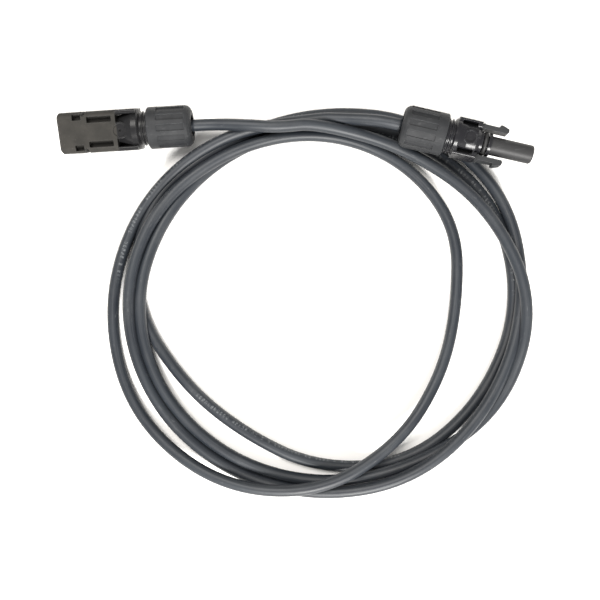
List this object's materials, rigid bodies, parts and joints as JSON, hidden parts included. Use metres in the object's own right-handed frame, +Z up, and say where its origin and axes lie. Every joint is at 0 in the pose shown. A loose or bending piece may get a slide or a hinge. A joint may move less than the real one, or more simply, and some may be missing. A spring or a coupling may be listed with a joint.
{
  "type": "solar cable connector",
  "caption": "Solar extension lead: a receptacle and a latching plug, each with a fluted gland nut, on one loosely coiled single-core cable.",
  "frame": {"origin": "on the surface that the lead lies on, under the middle of the box of the two connectors without the cord", "axes": "+X from the receptacle towards the plug, +Z up, so the coil of cable lies on the -Y side"},
  "size_m": [0.2124, 0.1791, 0.0253],
  "materials": {
    "cable_sheath": "matte cross-linked sheath",
    "copper": "bare stranded copper",
    "seal_rubber": "soft rubber",
    "nut_plastic": "fine-grained moulded plastic",
    "cage_plastic": "moulded plastic",
    "tinned_contact": "tin plate",
    "spring_steel": "bright spring steel",
    "housing_plastic": "semi-gloss moulded plastic"
  },
  "bodies": {
    "cable_assembly": {"receptacle_housing": "housing_plastic", "receptacle_cable_seal": "seal_rubber", "receptacle_conductor": "copper", "receptacle_cable_end": "cable_sheath", "pin_contact": "tinned_contact", "pin_contact_clip": "spring_steel", "plug_housing": "housing_plastic", "plug_cable_seal": "seal_rubber", "plug_conductor": "copper", "plug_cable_end": "cable_sheath", "plug_face_seal": "seal_rubber", "socket_contact": "tinned_contact", "socket_contact_spring": "spring_steel", "socket_contact_clip": "spring_steel", "cord_coil": "cable_sheath", "cord_lead_in": "cable_sheath", "cord_lead_out": "cable_sheath"},
    "receptacle_clamp": {"receptacle_clamp_cage": "cage_plastic"},
    "receptacle_gland_nut": {"receptacle_nut": "nut_plastic"},
    "plug_clamp": {"plug_clamp_cage": "cage_plastic"},
    "plug_gland_nut": {"plug_nut": "nut_plastic"},
    "left_latch": {"left_latch_arm": "housing_plastic"},
    "right_latch": {"right_latch_arm": "housing_plastic"}
  },
  "joints": [
    {"name": "receptacle_clamp_slide", "type": "slide", "parent": "cable_assembly", "child": "receptacle_clamp", "axis": [-0.9981, -0.061, -0.008], "range_m": [-0.00075, 0.003]},
    {"name": "receptacle_nut_turn", "type": "hinge", "parent": "receptacle_clamp", "child": "receptacle_gland_nut", "pos_m": [-0.05557, 0.00494, 0.00929], "axis": [-0.9981, -0.061, -0.008], "range_deg": [-182, 722]},
    {"name": "plug_clamp_slide", "type": "slide", "parent": "cable_assembly", "child": "plug_clamp", "axis": [0.9718, -0.2333, 0.0349], "range_m": [-0.003, 0.003]},
    {"name": "plug_nut_turn", "type": "hinge", "parent": "plug_clamp", "child": "plug_gland_nut", "pos_m": [0.05663, 0.00197, 0.01574], "axis": [0.9718, -0.2333, 0.0349], "range_deg": [-722, 722]},
    {"name": "left_latch_squeeze", "type": "hinge", "parent": "cable_assembly", "child": "left_latch", "pos_m": [0.08269, 0.00281, 0.01662], "axis": [0.0339, -0.0081, -0.9994], "range_deg": [0, 6], "stiffness_Nm_per_rad": 0.5},
    {"name": "right_latch_squeeze", "type": "hinge", "parent": "cable_assembly", "child": "right_latch", "pos_m": [0.07946, -0.01061, 0.01662], "axis": [-0.0339, 0.0081, 0.9994], "range_deg": [0, 6], "stiffness_Nm_per_rad": 0.5}
  ],
  "couplings": [
    {"joint": "receptacle_nut_turn", "follows": "receptacle_clamp_slide", "rad_per_m": 4188.8},
    {"joint": "plug_nut_turn", "follows": "plug_clamp_slide", "rad_per_m": 4188.8}
  ]
}
